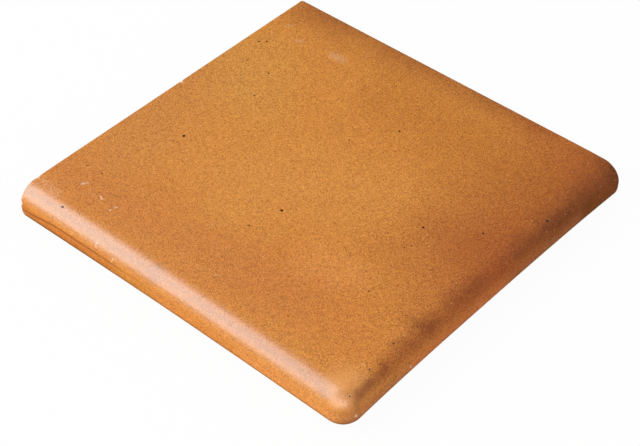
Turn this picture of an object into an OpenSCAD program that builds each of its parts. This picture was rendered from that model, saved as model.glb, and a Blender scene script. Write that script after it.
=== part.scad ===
// Corner stair tread tile.
// One fired clay piece: a flat body with a round nosing along two sides, which meet at a
// rounded outer corner. The other two sides are cut plain, to meet the next tiles.
// The tile stands on the two nosings. Origin: middle of the outline, at the bottom.
// The front nosing faces -Y and the side nosing faces +X.

/* [Body] */
// Width of the tile along X, from the cut edge to the side nosing
tile_w = 330; // [220:5:450]
// Depth of the tile along Y, from the front nosing to the cut edge
tile_d = 330; // [220:5:450]
// Thickness of the flat body
body_t = 11; // [8:0.5:16]

/* [Nosing] */
// Height of the nosing, from the bottom of its lip to the top face
nosing_h = 37; // [28:1:48]
// Height of the upright band between the nosing's upper and lower rounds
nosing_band = 4; // [0.5:0.5:12]
// Width of the flat strip under each nosing, behind the round
lip_flat = 8; // [4:0.5:16]
// Extra radius of the outer corner in plan, over the nosing's own radius
corner_ease = 1; // [0.5:0.5:12]
// Radius of the fillet where a lip meets the underside
lip_fillet = 4; // [2:0.5:6]

/* [Keying grooves] */
// Width of a groove at its mouth
groove_w = 11; // [6:0.5:14]
// Width of a groove at its floor
groove_floor_w = 8; // [4:0.5:12]
// Depth of a groove
groove_depth = 2; // [1:0.25:4]
// Distance from one groove to the next
groove_pitch = 21; // [16:1:40]
// Bare strip left between the grooves and the lips or the cut edge
groove_margin = 12; // [6:1:30]

/* [Hidden] */
nosing_r = (nosing_h - nosing_band) / 2;
corner_r = nosing_r + corner_ease;
lip_w = nosing_r + lip_flat;
underside_z = nosing_h - body_t;
cut_x = -tile_w / 2;
nose_x = tile_w / 2;
nose_y = -tile_d / 2;
cut_y = tile_d / 2;
lip_x = nose_x - lip_w;
lip_y = nose_y + lip_w;
bed_y = lip_y + lip_fillet;
groove_end_x = lip_x - lip_fillet - groove_margin;
groove_room = cut_y - bed_y - 2 * groove_margin - groove_w;
groove_count = floor(groove_room / groove_pitch) + 1;
groove_first_y = bed_y + groove_margin + groove_w / 2
    + (groove_room - (groove_count - 1) * groove_pitch) / 2;
over = 1;
clay = [0.80, 0.51, 0.25];
$fn = 96;

// Section through a nosing: x runs inward from the nose, y runs up
module nosing_section() {
    translate([nosing_r, nosing_h - nosing_r]) circle(r = nosing_r);
    translate([nosing_r, nosing_r]) circle(r = nosing_r);
    translate([0, nosing_r]) square([nosing_r, nosing_band]);
    translate([nosing_r, 0]) square([corner_ease, nosing_h]);
}

// The same section, set out from the axis that the outer corner turns about
module corner_section() {
    intersection() {
        translate([corner_r, 0]) mirror([1, 0]) nosing_section();
        square([corner_r, nosing_h]);
    }
}

// The nosing along the front, which faces -Y
module front_nosing() {
    translate([cut_x, nose_y, 0])
        rotate([90, 0, 90])
            linear_extrude(tile_w - corner_r) nosing_section();
}

// The nosing along the side, which faces +X
module side_nosing() {
    translate([nose_x, cut_y, 0])
        rotate([90, 0, 0])
            linear_extrude(tile_d - corner_r) mirror([1, 0]) nosing_section();
}

// The outer corner, where one nosing turns into the other
module outer_corner() {
    translate([nose_x - corner_r, nose_y + corner_r, 0])
        rotate([0, 0, -90])
            rotate_extrude(angle = 90) corner_section();
}

// The block behind both nosings, at their full height
module core_block() {
    translate([cut_x, nose_y + corner_r, 0])
        cube([tile_w - corner_r, tile_d - corner_r, nosing_h]);
}

// The hollow under the body, with a round where its walls meet its ceiling and each other
module underside_hollow() {
    inner_x = lip_x - lip_fillet;
    inner_y = lip_y + lip_fillet;
    round_z = underside_z - lip_fillet;
    run_x = inner_x - cut_x + over;
    run_y = cut_y - inner_y + over;
    translate([cut_x - over, inner_y, -over])
        cube([run_x, run_y, underside_z + over]);
    translate([cut_x - over, lip_y, -over])
        cube([run_x, lip_fillet, round_z + over]);
    translate([inner_x, inner_y, -over])
        cube([lip_fillet, run_y, round_z + over]);
    translate([inner_x, inner_y, -over])
        cylinder(r = lip_fillet, h = round_z + over);
    translate([cut_x - over, inner_y, round_z])
        rotate([0, 90, 0]) cylinder(r = lip_fillet, h = run_x);
    translate([inner_x, inner_y, round_z])
        rotate([-90, 0, 0]) cylinder(r = lip_fillet, h = run_y);
    translate([inner_x, inner_y, round_z])
        sphere(r = lip_fillet);
}

// One keying groove, open at the cut edge and closed short of the side lip
module keying_groove(y) {
    mouth = groove_w / 2;
    root = groove_floor_w / 2;
    translate([cut_x - over, y, underside_z])
        rotate([90, 0, 90])
            linear_extrude(groove_end_x - cut_x + over)
                polygon([[-mouth, -over], [mouth, -over], [mouth, 0],
                    [root, groove_depth], [-root, groove_depth], [-mouth, 0]]);
}

module corner_tread() {
    color(clay)
        difference() {
            union() {
                core_block();
                front_nosing();
                side_nosing();
                outer_corner();
            }
            underside_hollow();
            for (i = [0 : groove_count - 1])
                keying_groove(groove_first_y + i * groove_pitch);
        }
}

corner_tread();
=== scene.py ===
import math
import random

import bmesh
import bpy
import numpy as np
from mathutils import Matrix, Vector, noise
from mathutils.geometry import delaunay_2d_cdt


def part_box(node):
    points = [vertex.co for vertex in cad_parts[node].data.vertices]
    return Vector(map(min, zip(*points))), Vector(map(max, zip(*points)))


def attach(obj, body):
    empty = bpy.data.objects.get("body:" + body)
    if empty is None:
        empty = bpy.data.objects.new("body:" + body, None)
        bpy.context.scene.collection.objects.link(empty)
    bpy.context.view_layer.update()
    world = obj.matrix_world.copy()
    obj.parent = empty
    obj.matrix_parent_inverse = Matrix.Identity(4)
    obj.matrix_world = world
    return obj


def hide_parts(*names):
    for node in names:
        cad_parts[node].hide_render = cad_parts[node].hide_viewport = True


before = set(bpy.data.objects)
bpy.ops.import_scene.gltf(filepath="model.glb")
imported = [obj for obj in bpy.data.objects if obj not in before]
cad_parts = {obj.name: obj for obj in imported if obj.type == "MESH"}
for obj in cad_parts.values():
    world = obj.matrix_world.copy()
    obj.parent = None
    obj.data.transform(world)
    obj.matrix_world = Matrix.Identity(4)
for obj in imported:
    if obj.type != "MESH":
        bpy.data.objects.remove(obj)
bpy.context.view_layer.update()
tileLow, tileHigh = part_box("corner_tread")
halfX = (tileHigh.x - tileLow.x) / 2
halfY = (tileHigh.y - tileLow.y) / 2
topZ = tileHigh.z
mm = 0.001
hollowBare = 20.0              # mm from the glaze given to faces that are wholly bare
print("frame loaded, tile is", [round(v / mm, 1) for v in (tileHigh - tileLow)], "mm")

# the camera comes first: it looks down on the corner where the two nosings meet
cameraSetup = {
    "aim": (-0.0067, -0.0726, 0.0370),
    "azimuth": 43.02,      # degrees from the front nosing towards the side nosing
    "elevation": 43.06,
    "distance": 1.3225,
    "roll": -0.74,
    "lens": 98.93,
    "shift": (0.1068, -0.0021),
}


def addCamera(setup):
    azimuth = math.radians(setup["azimuth"])
    elevation = math.radians(setup["elevation"])
    back = Vector((math.sin(azimuth) * math.cos(elevation), -math.cos(azimuth) * math.cos(elevation),
                   math.sin(elevation)))
    right = Vector((math.cos(azimuth), math.sin(azimuth), 0))
    up = back.cross(right)
    roll = math.radians(setup["roll"])
    right, up = (right * math.cos(roll) + up * math.sin(roll),
                 up * math.cos(roll) - right * math.sin(roll))
    data = bpy.data.cameras.new("viewCamera")
    data.sensor_width = 36
    data.lens = setup["lens"]
    data.shift_x, data.shift_y = setup["shift"]
    data.clip_start = 0.05
    data.clip_end = 60
    camera = bpy.data.objects.new("viewCamera", data)
    bpy.context.scene.collection.objects.link(camera)
    turn = Matrix((right, up, back)).transposed().to_4x4()
    camera.matrix_world = Matrix.Translation(Vector(setup["aim"]) + back * setup["distance"]) @ turn
    bpy.context.scene.camera = camera


addCamera(cameraSetup)

# the tile's shape, in metres
tileForm = {
    "nosingBand": 0.0040,      # upright band between the upper and lower rounds
    "cornerEase": 0.0010,      # how much the corner's plan radius is over the nosing's
    "lipFlat": 0.0080,
    "bodyThickness": 0.0110,
    "lipFillet": 0.0040,
    "lipArris": 0.0008,        # wear on the lip's inner bottom edge
    "cutArrisTop": 0.0008,     # round on the cut sides' upper edges
    "cutArrisUnder": 0.0004,
    "cutCorner": 0.0014,       # round where the two cut sides meet
    "topRim": 0.0340,          # where the even top mesh starts, from the nosing's front
    "rowStep": 0.0018,         # mesh steps: along the nosing, over the top, under, on the cut sides
    "topStep": 0.0025,
    "underStep": 0.0060,
    "wallStep": 0.0022,
    "arrisSteps": 4,
}

nosingR = (topZ - tileForm["nosingBand"]) / 2
cornerR = nosingR + tileForm["cornerEase"]
lipW = nosingR + tileForm["lipFlat"]
underZ = topZ - tileForm["bodyThickness"]
bedInset = lipW + tileForm["lipFillet"]
equatorZ = topZ - nosingR
wallLength = 2 * halfX + 2 * halfY - (2 - math.pi / 2) * tileForm["cutCorner"]


def smooth(low, high, value):
    share = np.clip((value - low) / (high - low), 0, 1)
    return share * share * (3 - 2 * share)


def nosingSection():
    # rows of (inset from the front, height, outward normal's two parts, arris size at the cut sides)
    topArris, underArris = tileForm["cutArrisTop"], tileForm["cutArrisUnder"]
    wear, fillet = tileForm["lipArris"], tileForm["lipFillet"]

    def arc(angles, inset, z, radius, way, facing, arris):
        # way: the side of its centre the arc lies on; facing: 1 where it bulges, -1 in a hollow
        turns = [math.radians(angle) for angle in angles]
        return [(inset + way * radius * math.cos(a), z + radius * math.sin(a),
                 facing * way * math.cos(a), facing * math.sin(a), arris) for a in turns]
    upperAngles = list(np.linspace(90, 10, 20)) + [8, 6.5, 5, 3.5, 2, 1, 0]
    rows = [(inset, topZ, 0.0, 1.0, topArris)
            for inset in np.linspace(tileForm["topRim"], nosingR, 9)[:-1]]
    rows += arc(upperAngles, nosingR, equatorZ, nosingR, -1, 1, topArris)
    rows += [(0.0, z, -1.0, 0.0, topArris) for z in np.linspace(equatorZ, nosingR, 9)[1:-1]]
    rows += arc(np.linspace(0, -90, 17), nosingR, nosingR, nosingR, -1, 1, topArris)
    rows += [(inset, 0.0, 0.0, -1.0, topArris)
             for inset in np.linspace(nosingR, lipW - wear, 4)[1:-1]]
    rows += arc(np.linspace(-90, 0, 5), lipW - wear, wear, wear, 1, 1, underArris)
    rows += [(lipW, z, 1.0, 0.0, underArris) for z in np.linspace(wear, underZ - fillet, 7)[1:-1]]
    rows += arc(np.linspace(0, 90, 7), lipW + fillet, underZ - fillet, fillet, -1, -1, underArris)
    return rows


def turnRadius(inset, z):
    # plan radius of a mesh row where it goes round the outer corner
    if inset <= nosingR + 1e-9:
        return cornerR - inset
    if z > underZ + 1e-6:
        return cornerR - nosingR + 0.9 * (inset - nosingR)
    if z <= tileForm["lipArris"] + 1e-9:
        share = (inset - nosingR) / tileForm["lipFlat"]
        return cornerR - nosingR + share * (tileForm["lipFillet"] - cornerR + nosingR)
    return max(tileForm["lipFillet"] - (inset - lipW), 0.0003)


def nosingRing(row):
    # one row of the nosing, along the front, round the corner and along the side
    inset, z, arris = row[0], row[1], row[4]
    radius = turnRadius(inset, z)
    along = int(round(2 * halfX / tileForm["rowStep"]))
    turn = 16
    centreX, centreY = halfX - inset - radius, -halfY + inset + radius
    points = []
    for i in range(along):
        x = -halfX + arris + i / along * (centreX + halfX - arris)
        points.append((x, -halfY + inset, z))
    for i in range(turn + 1):
        a = -math.pi / 2 + math.pi / 2 * i / turn
        points.append((centreX + radius * math.cos(a), centreY + radius * math.sin(a), z))
    for i in range(1, along + 1):
        y = centreY + i / along * (halfY - arris - centreY)
        points.append((halfX - inset, y, z))
    return points


def wallPoint(s, depth):
    # a point on the cut sides, s along them from the front nosing, round the back corner
    turnR = tileForm["cutCorner"]
    firstEnd = 2 * halfY - turnR
    turnEnd = firstEnd + turnR * math.pi / 2
    if s <= firstEnd:
        return (-halfX + depth, -halfY + s), (-1.0, 0.0)
    if s >= turnEnd:
        return (-halfX + turnR + s - turnEnd, halfY - depth), (0.0, 1.0)
    a = (s - firstEnd) / turnR
    r = turnR - depth
    return ((-halfX + turnR - r * math.cos(a), halfY - turnR + r * math.sin(a)),
            (-math.cos(a), math.sin(a)))


def evenly(a, b, step):
    count = max(1, int(math.ceil(abs(b - a) / step)))
    return [a + (b - a) * i / count for i in range(count + 1)]


def wallOutline(rows):
    # closed outline of the cut sides laid out flat: (s, height, normal's two parts, arris size)
    outline = [tuple(r) for r in rows]
    for v in evenly(bedInset, wallLength - bedInset, tileForm["underStep"])[1:-1]:
        outline.append((v, underZ, 0.0, -1.0, tileForm["cutArrisUnder"]))
    outline += [(wallLength - r[0], r[1], -r[2], r[3], r[4]) for r in reversed(rows)]
    rim = tileForm["topRim"]
    for v in evenly(wallLength - rim, rim, tileForm["topStep"])[1:-1]:
        outline.append((v, topZ, 0.0, 1.0, tileForm["cutArrisTop"]))
    return outline


def insidePoints(polygon, step, clear, keepOff=()):
    # points of a staggered grid that lie inside the polygon and clear of its edge
    poly = np.array(polygon)
    low, high = poly.min(0), poly.max(0)
    points = []
    rowGap = step * math.sqrt(3) / 2
    for j, y in enumerate(np.arange(low[1] + rowGap / 2, high[1], rowGap)):
        shift = step / 2 if j % 2 else 0.0
        points += [(x, y) for x in np.arange(low[0] + step / 3 + shift, high[0], step)]
    points = np.array(points)
    edge = np.roll(poly, -1, axis=0) - poly
    size = (edge ** 2).sum(1) + 1e-18
    rise = np.where(edge[:, 1] == 0, 1e-18, edge[:, 1])
    keep = np.zeros(len(points), bool)
    batch = 500
    for first in range(0, len(points), batch):
        p = points[first:first + batch, None, :]
        t = np.clip(((p - poly) * edge).sum(2) / size, 0, 1)
        gap = np.sqrt(((poly + t[..., None] * edge - p) ** 2).sum(2)).min(1)
        crosses = (poly[:, 1] > p[..., 1]) != (poly[:, 1] + edge[:, 1] > p[..., 1])
        atX = poly[:, 0] + (p[..., 1] - poly[:, 1]) * edge[:, 0] / rise
        inside = (crosses & (p[..., 0] < atX)).sum(1) % 2 == 1
        keep[first:first + batch] = inside & (gap > clear)
    for x, y, r in keepOff:
        keep &= np.hypot(points[:, 0] - x, points[:, 1] - y) > r
    return [tuple(p) for p in points[keep]]


class Shell:
    # gathers the tile's points and faces, with how far each point is from the glaze, in mm
    def __init__(self):
        self.points = []
        self.faces = []
        self.bare = []
        self.pit = []

    def add(self, points, bare, pit=0.0):
        first = len(self.points)
        count = len(points)
        self.points += [tuple(p) for p in points]
        self.bare += list(bare) if hasattr(bare, "__len__") else [bare] * count
        self.pit += list(pit) if hasattr(pit, "__len__") else [pit] * count
        return first

    def grid(self, rows, bare):
        width = len(rows[0])
        first = self.add([p for row in rows for p in row], bare)
        for r in range(len(rows) - 1):
            for c in range(width - 1):
                a = first + r * width + c
                self.faces.append((a, a + 1, a + width + 1, a + width))

    def fill(self, outline, extra, place, bare, pit=None):
        # triangulates a flat outline with points inside it, and puts it in place
        flat = [Vector(p) for p in outline] + [Vector(p) for p in extra]
        found = delaunay_2d_cdt(flat, [], [list(range(len(outline)))], 1, 1e-7)
        points, faces = found[0], found[2]
        first = self.add([place(p.x, p.y) for p in points],
                         [bare(p.x, p.y) for p in points],
                         [pit(p.x, p.y) for p in points] if pit else 0.0)
        self.faces += [tuple(first + i for i in f) for f in faces]


# pits in the top, in mm: x, y, radius, depth, and how dark each fired, 0 to 1
topPits = [
    (1.6, -48.0, 1.05, 0.30, 1.0), (-114.3, -34.8, 1.05, 0.30, 1.0), (9.4, 83.8, 0.85, 0.22, 1.0),
    (94.1, 8.8, 0.85, 0.20, 0.95), (-5.6, -77.4, 0.95, 0.15, 0.6),
    (-153.0, 96.0, 0.75, 0.20, 0.9), (-148.1, 100.4, 0.80, 0.20, 0.95), (-142.6, 70.6, 0.85, 0.15, 0.6),
    (-117.9, 69.3, 0.70, 0.18, 0.8), (-107.0, 40.3, 0.72, 0.18, 0.85), (-28.5, 126.7, 0.65, 0.15, 0.7),
    (-13.0, 48.5, 0.60, 0.14, 0.7), (17.1, 58.7, 0.75, 0.12, 0.45), (51.4, -70.9, 0.85, 0.12, 0.45),
    (100.1, -12.5, 0.65, 0.14, 0.7), (97.3, -17.6, 0.60, 0.12, 0.6), (106.8, -70.2, 0.70, 0.14, 0.7),
    (79.1, -128.1, 0.80, 0.12, 0.5), (-145.5, -110.4, 0.75, 0.14, 0.6), (-130.3, -109.7, 0.60, 0.12, 0.6),
]
pitSpread = {
    "count": 90,               # named and scattered together
    "seed": 41,
    "radius": (0.30, 0.52),
    "depthShare": (0.02, 0.05),
    "gap": 6.0,
    "edge": 5.0,               # plain margin beside the cut sides and the nosings
    "darkness": (0.15, 0.50),
    "rings": ((0.5, 6), (0.95, 9), (1.4, 10)),     # mesh rings: share of the radius, points
    "bowl": 1.25,              # where the hollow ends, as a share of the radius
}


def placePits():
    dice = random.Random(pitSpread["seed"])
    pits = [(x * mm, y * mm, r * mm, d * mm, k) for x, y, r, d, k in topPits]
    edge = pitSpread["edge"] * mm
    rim = tileForm["topRim"] + edge
    while len(pits) < pitSpread["count"]:
        x = dice.uniform(-halfX + edge, halfX - rim)
        y = dice.uniform(-halfY + rim, halfY - edge)
        r = dice.uniform(*pitSpread["radius"]) * mm
        if all(math.hypot(x - p[0], y - p[1]) > pitSpread["gap"] * mm for p in pits):
            pits.append((x, y, r, r * dice.uniform(*pitSpread["depthShare"]),
                         dice.uniform(*pitSpread["darkness"])))
    return pits


def layTop(shell, edgeLoop):
    pits = placePits()
    step = tileForm["topStep"]
    keepOff = [(x, y, r * 1.9 + 0.5 * mm) for x, y, r, d, k in pits]
    extra = insidePoints(edgeLoop, step, step * 0.6, keepOff)
    for x, y, r, d, k in pits:
        extra.append((x, y))
        for ring, count in pitSpread["rings"]:
            for i in range(count):
                a = 2 * math.pi * (i + ring) / count
                extra.append((x + r * ring * math.cos(a), y + r * ring * math.sin(a)))
    centres = np.array([p[:2] for p in pits])

    def nearestPit(x, y):
        gaps = np.hypot(centres[:, 0] - x, centres[:, 1] - y)
        i = int(gaps.argmin())
        return pits[i][2:], gaps[i]

    def place(x, y):
        (r, d, k), gap = nearestPit(x, y)
        return (x, y, topZ - d * max(0.0, 1 - (gap / (r * pitSpread["bowl"])) ** 2))

    def darkness(x, y):
        (r, d, k), gap = nearestPit(x, y)
        return k if gap < r else 0.0
    shell.fill(edgeLoop, extra, place, lambda x, y: 0.0, darkness)


def layNosing(shell, rows, rings):
    bare = []
    for inset, z in [row[:2] for row in rows]:
        # the glaze stops short of the foot, and the hollow under the tile is bare
        below = hollowBare if inset > lipW - 1.5 * mm and z < topZ - 1 * mm else (4 * mm - z) / mm
        bare += [below if z < topZ - 1e-6 else 0.0] * len(rings[0])
    shell.grid(rings, bare)


def layCutSides(shell, outline):
    # round the arrises from the neighbouring faces, then the flat part inside them
    levels = tileForm["arrisSteps"]
    strips, bare, inner = [], [], []
    for level in range(levels + 1):
        a = math.pi / 2 * level / levels
        strip = []
        for s, z, ns, nz, e in outline:
            qs, qz = s - ns * e, z - nz * e
            (x, y), (wx, wy) = wallPoint(s, e)
            (qx, qy), _ = wallPoint(qs, e)
            out = 1 - math.cos(a)
            strip.append((x + (qx - x) * out + wx * e * math.sin(a),
                          y + (qy - y) * out + wy * e * math.sin(a), z + (qz - z) * out))
            glazed = e == tileForm["cutArrisTop"]
            bare.append(level / levels * e / mm if glazed else hollowBare)
            if level == levels:
                inner.append((qs, qz))
        bare.append(bare[-len(outline)])
        strips.append(strip + [strip[0]])
    shell.grid(strips, bare)
    glazedEdge = np.array([o[:2] for o in outline if o[4] == tileForm["cutArrisTop"]])

    def fromGlaze(s, z):
        return float(np.hypot(glazedEdge[:, 0] - s, glazedEdge[:, 1] - z).min()) / mm

    def onWall(s, z):
        (x, y), _ = wallPoint(s, 0.0)
        return (x, y, z)
    step = tileForm["wallStep"]
    shell.fill(inner, insidePoints(inner, step, step * 0.55), onWall, fromGlaze)


def wallLine(outline, height, end):
    # the part of the cut sides' outline at one height, clear of both ends, as plan points
    return [wallPoint(s, e)[0] for s, z, ns, nz, e in outline
            if abs(z - height) < 1e-9 and end + 1e-6 < s < wallLength - end - 1e-6]


def layUnder(shell, underLoop):
    step = tileForm["underStep"]
    shell.fill(underLoop, insidePoints(underLoop, step, step * 0.45),
               lambda x, y: (x, y, underZ), lambda x, y: hollowBare)


def buildShell():
    rows = nosingSection()
    rings = [nosingRing(row) for row in rows]
    outline = wallOutline(rows)
    shell = Shell()
    layNosing(shell, rows, rings)
    print("nosing laid out,", len(shell.faces), "faces")
    layCutSides(shell, outline)
    print("cut sides laid out")
    layTop(shell, [p[:2] for p in rings[0]] + wallLine(outline, topZ, tileForm["topRim"]))
    print("top laid out,", len(shell.faces), "faces")
    layUnder(shell, [p[:2] for p in rings[-1]] + wallLine(outline, underZ, bedInset)[::-1])
    return shell


def closeShell(shell, name):
    mesh = bpy.data.meshes.new(name)
    mesh.from_pydata(shell.points, [], shell.faces)
    for label, values in (("fromGlaze", shell.bare), ("pit", shell.pit)):
        layer = mesh.attributes.new(label, "FLOAT", "POINT")
        layer.data.foreach_set("value", np.array(values, np.float32))
    bm = bmesh.new()
    bm.from_mesh(mesh)
    bmesh.ops.remove_doubles(bm, verts=bm.verts, dist=0.004 * mm)
    bmesh.ops.recalc_face_normals(bm, faces=bm.faces)
    unclosed = [e for e in bm.edges if len(e.link_faces) != 2]
    bm.to_mesh(mesh)
    bm.free()
    mesh.update()
    print("shell closed,", len(unclosed), "open edges,", len(mesh.vertices), "points")
    return mesh


class Sheet:
    # one node tree, with short hands for what the trees repeat
    def __init__(self, tree):
        self.tree = tree
        tree.nodes.clear()

    def add(self, kind, sockets=None, **settings):
        # one node: settings are its own options, sockets are values or links by name or number
        made = self.tree.nodes.new(kind)
        count = len(self.tree.nodes) - 1
        made.location = (count % 12 * 210, -(count // 12) * 300)
        for key, value in settings.items():
            setattr(made, key, value)
        for key, value in (sockets or {}).items():
            socket = made.inputs[key]
            if isinstance(value, bpy.types.NodeSocket):
                self.tree.links.new(value, socket)
            else:
                socket.default_value = value
        return made

    def get(self, kind, sockets=None, output=0, **settings):
        return self.add(kind, sockets, **settings).outputs[output]

    def maths(self, operation, a, b, c=0.0):
        return self.get("ShaderNodeMath", {0: a, 1: b, 2: c}, operation=operation)

    def times(self, a, b):
        return self.maths("MULTIPLY", a, b)

    def larger(self, a, b):
        return self.maths("MAXIMUM", a, b)

    def vector(self, operation, a, b, output=0):
        second = "Scale" if operation == "SCALE" else 1
        return self.get("ShaderNodeVectorMath", {0: a, second: b}, output, operation=operation)

    def at(self, **parts):
        return self.get("ShaderNodeCombineXYZ", parts)

    def range(self, value, low, high, toLow=0.0, toHigh=1.0, soft=True):
        return self.get("ShaderNodeMapRange", {"Value": value, "From Min": low, "From Max": high,
                                               "To Min": toLow, "To Max": toHigh},
                        interpolation_type="SMOOTHSTEP" if soft else "LINEAR")


def newGeometryTree(name, values):
    # a Geometry Nodes tree with an input for each named value
    tree = bpy.data.node_groups.new(name, "GeometryNodeTree")
    tree.interface.new_socket("Geometry", in_out="INPUT", socket_type="NodeSocketGeometry")
    for label, value in values.items():
        kind = "NodeSocketInt" if isinstance(value, int) else "NodeSocketFloat"
        tree.interface.new_socket(label, in_out="INPUT", socket_type=kind)
    tree.interface.new_socket("Geometry", in_out="OUTPUT", socket_type="NodeSocketGeometry")
    sheet = Sheet(tree)
    return sheet, sheet.add("NodeGroupInput").outputs


def closeTree(sheet, geometry, material):
    # every tree ends the same way: plain faces in one material
    whole = sheet.get("GeometryNodeRealizeInstances", {0: geometry})
    clad = sheet.get("GeometryNodeSetMaterial", {"Geometry": whole, "Material": material})
    sheet.add("NodeGroupOutput", {0: clad})
    return sheet.tree


def applyTree(obj, tree, values):
    # runs the tree on obj with the values by input name, and keeps the plain mesh it gives
    modifier = obj.modifiers.new(tree.name, "NODES")
    modifier.node_group = tree
    for item in tree.interface.items_tree:
        if item.in_out == "INPUT" and item.name in values:
            modifier[item.identifier] = values[item.name]
    bpy.context.view_layer.update()
    evaluated = obj.evaluated_get(bpy.context.evaluated_depsgraph_get())
    mesh = bpy.data.meshes.new_from_object(evaluated)
    obj.modifiers.remove(modifier)
    return mesh


# the keying grooves under the tile, in metres
grooveSetup = {
    "mouth": 0.0110,
    "root": 0.0080,
    "depth": 0.0020,
    "pitch": 0.0210,
    "margin": 0.0120,          # least plain bed beside the outer grooves and past their closed ends
    "rootRound": 0.0006,
    "mouthBevel": 0.0005,
    "overcut": 0.0010,         # how far the cutter stands out of the bed
}


def grooveTree(material, values):
    # cutters swept along a row of lines, taken away from the tile
    sheet, put = newGeometryTree("keyingGrooves", values)
    get, maths = sheet.get, sheet.maths

    def sweep(wide, narrow, height, centre, rounding):
        # a closed bar of trapezoid section, repeated over the bed
        section = get("GeometryNodeCurvePrimitiveQuadrilateral",
                      {"Height": height, "Bottom Width": wide, "Top Width": narrow, "Offset": 0.0},
                      mode="TRAPEZOID")
        if rounding:
            section = get("GeometryNodeFilletCurve", {"Curve": section, "Count": 3, "Radius": rounding,
                                                      "Limit Radius": True}, mode="POLY")
        line = get("GeometryNodeCurvePrimitiveLine", {"Start": sheet.at(X=put["Start"], Z=centre),
                                                      "End": sheet.at(X=put["End"], Z=centre)})
        bar = get("GeometryNodeCurveToMesh", {"Curve": line, "Profile Curve": section,
                                              "Fill Caps": True})
        marked = get("GeometryNodeStoreNamedAttribute",
                     {"Geometry": bar, "Name": "fromGlaze", "Value": hollowBare},
                     data_type="FLOAT", domain="POINT")
        rows = get("GeometryNodeMeshLine",
                   {"Count": put["Count"], "Offset": sheet.at(Y=put["Pitch"]),
                    "Start Location": sheet.at(Y=put["First"], Z=put["Bed Height"])}, mode="OFFSET")
        repeated = get("GeometryNodeInstanceOnPoints", {"Points": rows, "Instance": marked})
        return get("GeometryNodeRealizeInstances", {0: repeated})

    # the flank's slope carries on below the bed, so the mouth is true at the bed itself
    slope = maths("DIVIDE", maths("SUBTRACT", put["Mouth"], put["Root"]), put["Depth"])
    wide = maths("MULTIPLY_ADD", slope, put["Overcut"], put["Mouth"])
    tall = maths("ADD", put["Depth"], put["Overcut"])
    middle = sheet.times(maths("SUBTRACT", put["Depth"], put["Overcut"]), 0.5)
    groove = sweep(wide, put["Root"], tall, middle, put["Root Round"])
    flareWide = maths("MULTIPLY_ADD", put["Bevel"], 4.0, put["Mouth"])
    bevel = sweep(flareWide, put["Mouth"], sheet.times(put["Bevel"], 2.0), 0.0, None)
    cut = sheet.add("GeometryNodeMeshBoolean", {"Mesh 1": put["Geometry"]},
                    operation="DIFFERENCE", solver="MANIFOLD")
    for cutter in (groove, bevel):
        sheet.tree.links.new(cutter, cut.inputs["Mesh 2"])
    return closeTree(sheet, cut.outputs["Mesh"], material)


def grooveValues():
    bedY = -halfY + bedInset
    mouth, margin, pitch = grooveSetup["mouth"], grooveSetup["margin"], grooveSetup["pitch"]
    room = halfY - bedY - 2 * margin - mouth
    count = int(math.floor(room / pitch + 1e-9)) + 1
    first = bedY + margin + mouth / 2 + (room - (count - 1) * pitch) / 2
    return {"Count": count, "Pitch": pitch, "First": first, "Start": -halfX - 2 * mm,
            "End": halfX - bedInset - margin, "Bed Height": underZ, "Mouth": mouth,
            "Root": grooveSetup["root"], "Depth": grooveSetup["depth"],
            "Root Round": grooveSetup["rootRound"], "Bevel": grooveSetup["mouthBevel"],
            "Overcut": grooveSetup["overcut"]}


# how the kiln and handling changed the tile, in mm
tileWear = {
    "frontBow": 1.35,          # how far each nosing bows in at its middle
    "sideBow": 2.05,
    "frontBowPower": 1.62,     # 2 is a plain curve, more is flatter in the middle
    "sideBowPower": 2.8,
    "bowReach": 150.0,         # how far into the tile the bow still shows
    "shoulderDip": 0.26,       # fall of the top just behind the nosing
    "topSink": 0.09,
    "topWarp": 0.22,
    "peel": 0.035,             # fine unevenness of the glazed faces
    "drawLines": 0.05,         # faint lines along the nosing
    "creaseHeight": 20.6,      # mould line along the front nosing
    "creaseDepth": 0.22,
    "creaseHalfWidth": 1.6,
    "creaseDrop": 4.2,         # how far it falls at the cut end, and where the fall begins
    "creaseDropFrom": -118.0,
    "creaseFrom": -95.0,
    "creaseTo": -20.0,
    "creaseWaver": 0.22,
    "creaseRagged": 9.0,       # how unevenly it fades out
    "wallSink": 0.13,          # the cut sides lie this much inside the arris
    "wallRelief": 0.16,
    "bedRelief": 0.25,
    "flush": 0.02,             # points this near a face's plane belong to it
    "footEase": 1.2,           # the front nosing's foot is worn back at its cut end
    "softAngle": 42.0,         # edges sharper than this shade as edges
}

# chips out of the arrises, in mm: place, radius, depth
namedChips = [
    ((-165.0, -164.4, 22.5), 2.1, 0.50),
    ((-165.0, -145.4, 36.6), 1.6, 0.22),
    ((-165.0, 13.9, 37.0), 1.6, 0.32),
    ((165.0, -92.4, 17.2), 1.1, 0.22),
    ((164.6, -153.4, 16.8), 1.6, 0.26),
]
# pits in the nosings: place, radius, depth
nosingPits = [
    ((157.8, 79.8, 33.9), 1.10, 0.30),
    ((-126.3, -155.6, 35.4), 1.00, 0.26),
    ((152.4, -97.3, 36.6), 0.80, 0.18),
    ((158.2, -153.2, 33.2), 0.80, 0.18),
    ((154.2, -126.9, 36.0), 0.75, 0.18),
    ((-81.7, -164.5, 24.3), 0.75, 0.16),
    ((131.9, 33.7, 37.0), 0.90, 0.20),
]
chipSpread = {
    "count": 22,
    "seed": 7,
    "radius": (0.9, 2.6),
    "depthShare": (0.18, 0.34),
    "refine": 1.5,             # the mesh is finer out to this share of the radius
    "finest": 0.25,            # and no edge is split below this length
    "ragged": 0.22,
    "reach": 1.25,             # ragged edges stay within this share of the radius
}


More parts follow.
